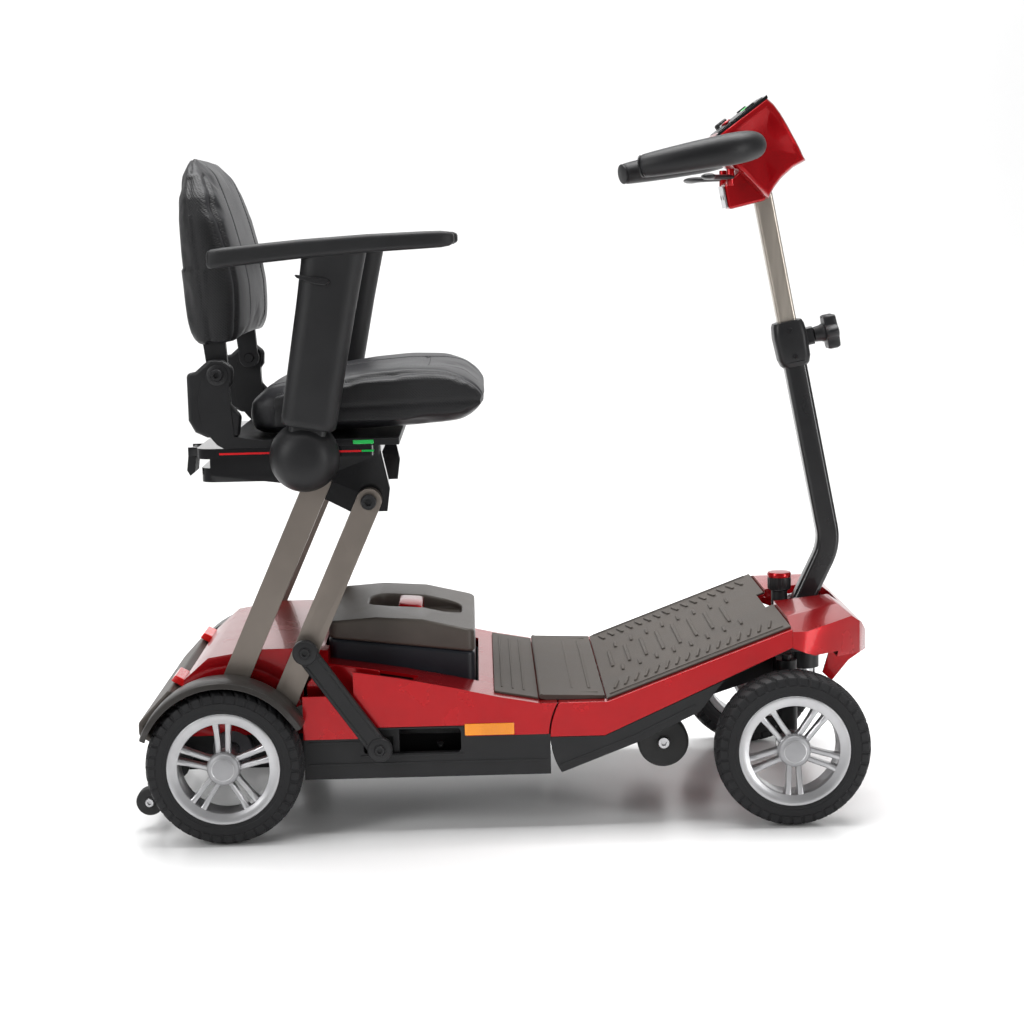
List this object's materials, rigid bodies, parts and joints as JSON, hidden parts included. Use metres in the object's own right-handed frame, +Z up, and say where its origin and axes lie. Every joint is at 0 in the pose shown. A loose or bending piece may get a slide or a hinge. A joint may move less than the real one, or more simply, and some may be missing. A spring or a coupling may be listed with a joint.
{
  "type": "mobility scooter",
  "caption": "Compact folding mobility scooter with a lowering seat, lift-off battery, folding deck and wrap-round handlebar.",
  "frame": {"origin": "on the floor under the middle of the length and width", "axes": "+X forward, +Y the rider's left, +Z up"},
  "size_m": [0.961, 0.51, 0.927],
  "materials": {
    "frame_black": "satin",
    "bronze_metal": "satin",
    "steel": "machined",
    "motor_grey": "satin",
    "charcoal_plastic": "textured",
    "red_gloss": "gloss",
    "taupe_plastic": "satin",
    "battery_plastic": "textured",
    "amber_lens": "gloss",
    "floor_rubber": "ribbed",
    "tyre_rubber": "matte",
    "rim_silver": "painted",
    "roller_plastic": "matte",
    "seat_vinyl": "satin",
    "armrest_plastic": "textured",
    "champagne_metal": "satin",
    "control_black": "gloss",
    "foam_grip": "matte",
    "black_plastic": "satin"
  },
  "bodies": {
    "root": {"rear_frame": "frame_black", "pivot_axles": "steel", "transaxle": "motor_grey", "drive_motor": "motor_grey", "fold_actuator": "steel", "rear_lower_body": "charcoal_plastic", "rear_cover": "red_gloss", "battery_dock": "black_plastic", "rear_fenders": "taupe_plastic", "rear_bumper": "taupe_plastic", "reflectors": "amber_lens", "rear_mat": "floor_rubber"},
    "battery": {"battery_case": "battery_plastic", "battery_cover": "taupe_plastic", "battery_handle": "red_gloss"},
    "front_posts": {"front_seat_posts": "bronze_metal"},
    "rear_posts": {"rear_seat_posts": "bronze_metal"},
    "links": {"drag_links": "frame_black"},
    "carriage": {"link_carriage": "frame_black"},
    "seat_carrier": {"seat_base": "black_plastic"},
    "seat_release": {"slide_lever": "black_plastic"},
    "seat": {"seat_pan": "frame_black", "seat_cushion": "seat_vinyl"},
    "backrest": {"backrest_frame": "frame_black", "backrest_cushion": "seat_vinyl"},
    "left_arm": {"armrest_post_left": "armrest_plastic"},
    "right_arm": {"armrest_post_right": "armrest_plastic"},
    "left_armrest": {"armrest_pad_left": "armrest_plastic"},
    "right_armrest": {"armrest_pad_right": "armrest_plastic"},
    "rear_wheel_left": {"rear_tyre_left": "tyre_rubber", "rear_rim_left": "rim_silver"},
    "rear_wheel_right": {"rear_tyre_right": "tyre_rubber", "rear_rim_right": "rim_silver"},
    "anti_tip": {"anti_tip_wheels": "roller_plastic"},
    "front_section": {"front_frame": "frame_black", "front_cover": "red_gloss", "front_lower_body": "charcoal_plastic", "front_mat": "floor_rubber", "nose_cover": "red_gloss"},
    "flap": {"floor_flap": "floor_rubber"},
    "rollers": {"floor_rollers": "roller_plastic"},
    "knuckle_left": {"steering_knuckle_left": "steel"},
    "knuckle_right": {"steering_knuckle_right": "steel"},
    "front_wheel_left": {"front_tyre_left": "tyre_rubber", "front_rim_left": "rim_silver"},
    "front_wheel_right": {"front_tyre_right": "tyre_rubber", "front_rim_right": "rim_silver"},
    "steering": {"steering_stem": "steel"},
    "tie": {"tie_rod": "steel"},
    "lock": {"tiller_lock_knob": "black_plastic"},
    "lower_tiller": {"tiller_tube": "frame_black"},
    "knob": {"height_knob": "black_plastic"},
    "head": {"mast": "champagne_metal", "head_cover": "red_gloss", "dash_panel": "control_black", "handlebar": "foam_grip"},
    "forward_control": {"forward_lever": "black_plastic"},
    "reverse_control": {"reverse_lever": "black_plastic"},
    "dial": {"speed_dial": "black_plastic"},
    "horn": {"horn_button": "red_gloss"}
  },
  "joints": [
    {"name": "seat_fold", "type": "hinge", "parent": "root", "child": "front_posts", "pos_m": [-0.2845, 0, 0.165], "axis": [0, 1, 0], "range_deg": [0, 45.6]},
    {"name": "rear_post_swing", "type": "hinge", "parent": "root", "child": "rear_posts", "pos_m": [-0.3471, 0, 0.1923], "axis": [0, 1, 0], "range_deg": [0, 45.6]},
    {"name": "seat_level", "type": "hinge", "parent": "front_posts", "child": "seat_carrier", "pos_m": [-0.16561, 0, 0.4271], "axis": [0, 1, 0], "range_deg": [-45.6, 0]},
    {"name": "link_swing", "type": "hinge", "parent": "front_posts", "child": "links", "pos_m": [-0.25071, 0, 0.23949], "axis": [0, 1, 0], "range_deg": [-69.13, 0]},
    {"name": "carriage_slide", "type": "slide", "parent": "root", "child": "carriage", "axis": [1, 0, 0], "range_m": [0, 0.0866]},
    {"name": "deck_fold", "type": "hinge", "parent": "root", "child": "front_section", "pos_m": [0.1445, 0, 0.12], "axis": [0, -1, 0], "range_deg": [0, 38]},
    {"name": "flap_lift", "type": "hinge", "parent": "root", "child": "flap", "pos_m": [0.0465, 0, 0.169], "axis": [0, -1, 0], "range_deg": [0, 17.2]},
    {"name": "battery_lift", "type": "slide", "parent": "root", "child": "battery", "axis": [0, 0, -1], "range_m": [-0.06, 0]},
    {"name": "seat_release_pull", "type": "hinge", "parent": "seat_carrier", "child": "seat_release", "pos_m": [-0.3905, -0.13, 0.49], "axis": [0, 1, 0], "range_deg": [0, 20], "stiffness_Nm_per_rad": 0.5},
    {"name": "seat_slide", "type": "slide", "parent": "seat_carrier", "child": "seat", "axis": [-1, 0, 0], "range_m": [0, 0.1]},
    {"name": "backrest_fold", "type": "hinge", "parent": "seat", "child": "backrest", "pos_m": [-0.35, 0, 0.5895], "axis": [0, 1, 0], "range_deg": [0, 72]},
    {"name": "left_arm_swing", "type": "hinge", "parent": "seat", "child": "left_arm", "pos_m": [-0.2425, 0.226, 0.487], "axis": [0, -1, 0], "range_deg": [0, 92]},
    {"name": "left_arm_height", "type": "slide", "parent": "left_arm", "child": "left_armrest", "axis": [0.1805, 0, 0.9836], "range_m": [0, 0.05]},
    {"name": "rear_wheel_left_spin", "type": "hinge", "parent": "root", "child": "rear_wheel_left", "pos_m": [-0.3555, 0.228, 0.1], "axis": [0, 1, 0], "continuous": true},
    {"name": "right_arm_swing", "type": "hinge", "parent": "seat", "child": "right_arm", "pos_m": [-0.2425, -0.226, 0.487], "axis": [0, -1, 0], "range_deg": [0, 92]},
    {"name": "right_arm_height", "type": "slide", "parent": "right_arm", "child": "right_armrest", "axis": [0.1805, 0, 0.9836], "range_m": [0, 0.05]},
    {"name": "rear_wheel_right_spin", "type": "hinge", "parent": "root", "child": "rear_wheel_right", "pos_m": [-0.3555, -0.228, 0.1], "axis": [0, 1, 0], "continuous": true},
    {"name": "anti_tip_spin", "type": "hinge", "parent": "root", "child": "anti_tip", "pos_m": [-0.4625, 0, 0.038], "axis": [0, 1, 0], "continuous": true},
    {"name": "roller_spin", "type": "hinge", "parent": "front_section", "child": "rollers", "pos_m": [0.2035, 0, 0.101], "axis": [0, 1, 0], "continuous": true},
    {"name": "steer", "type": "hinge", "parent": "front_section", "child": "steering", "pos_m": [0.4145, 0, 0.15], "axis": [0, 0, 1], "range_deg": [-30, 30]},
    {"name": "knuckle_left_turn", "type": "hinge", "parent": "front_section", "child": "knuckle_left", "pos_m": [0.3645, 0.165, 0.17], "axis": [0, 0, 1], "range_deg": [-30, 30]},
    {"name": "front_wheel_left_spin", "type": "hinge", "parent": "knuckle_left", "child": "front_wheel_left", "pos_m": [0.3645, 0.212, 0.1], "axis": [0, 1, 0], "continuous": true},
    {"name": "knuckle_right_turn", "type": "hinge", "parent": "front_section", "child": "knuckle_right", "pos_m": [0.3645, -0.165, 0.17], "axis": [0, 0, 1], "range_deg": [-30, 30]},
    {"name": "front_wheel_right_spin", "type": "hinge", "parent": "knuckle_right", "child": "front_wheel_right", "pos_m": [0.3645, -0.212, 0.1], "axis": [0, 1, 0], "continuous": true},
    {"name": "tie_rod_turn", "type": "hinge", "parent": "steering", "child": "tie", "pos_m": [0.3745, 0, 0.135], "axis": [0, 0, 1], "range_deg": [-30, 30]},
    {"name": "lock_knob_lift", "type": "slide", "parent": "steering", "child": "lock", "axis": [0, 0, 1], "range_m": [0, 0.01], "stiffness_N_per_m": 800},
    {"name": "tiller_tilt", "type": "hinge", "parent": "steering", "child": "lower_tiller", "pos_m": [0.4095, 0, 0.245], "axis": [0, -1, 0], "range_deg": [0, 14]},
    {"name": "height_knob_turn", "type": "hinge", "parent": "lower_tiller", "child": "knob", "pos_m": [0.4151, 0, 0.61001], "axis": [0.9826, 0, 0.1857], "continuous": true},
    {"name": "mast_height", "type": "slide", "parent": "lower_tiller", "child": "head", "axis": [0.1857, 0, -0.9826], "range_m": [-0.03, 0.11]},
    {"name": "forward_lever_squeeze", "type": "hinge", "parent": "head", "child": "forward_control", "pos_m": [0.3125, -0.04, 0.823], "axis": [0, 0, 1], "range_deg": [0, 15], "stiffness_Nm_per_rad": 0.4},
    {"name": "reverse_lever_squeeze", "type": "hinge", "parent": "head", "child": "reverse_control", "pos_m": [0.3125, 0.04, 0.823], "axis": [0, 0, -1], "range_deg": [0, 15], "stiffness_Nm_per_rad": 0.4},
    {"name": "speed_dial_turn", "type": "hinge", "parent": "head", "child": "dial", "pos_m": [0.31107, 0.024, 0.89124], "axis": [-0.602, 0, 0.7985], "range_deg": [-135, 135]},
    {"name": "horn_press", "type": "slide", "parent": "head", "child": "horn", "axis": [0.602, 0, -0.7985], "range_m": [0, 0.002], "stiffness_N_per_m": 600}
  ],
  "couplings": [
    {"joint": "rear_post_swing", "follows": "seat_fold", "ratio": 1},
    {"joint": "seat_level", "follows": "seat_fold", "ratio": -1},
    {"joint": "link_swing", "follows": "seat_fold", "ratio": -1.515},
    {"joint": "carriage_slide", "follows": "seat_fold", "m_per_rad": 0.10856},
    {"joint": "flap_lift", "follows": "deck_fold", "ratio": 0.45},
    {"joint": "knuckle_left_turn", "follows": "steer", "ratio": 1},
    {"joint": "knuckle_right_turn", "follows": "steer", "ratio": 1},
    {"joint": "tie_rod_turn", "follows": "steer", "ratio": -1}
  ]
}
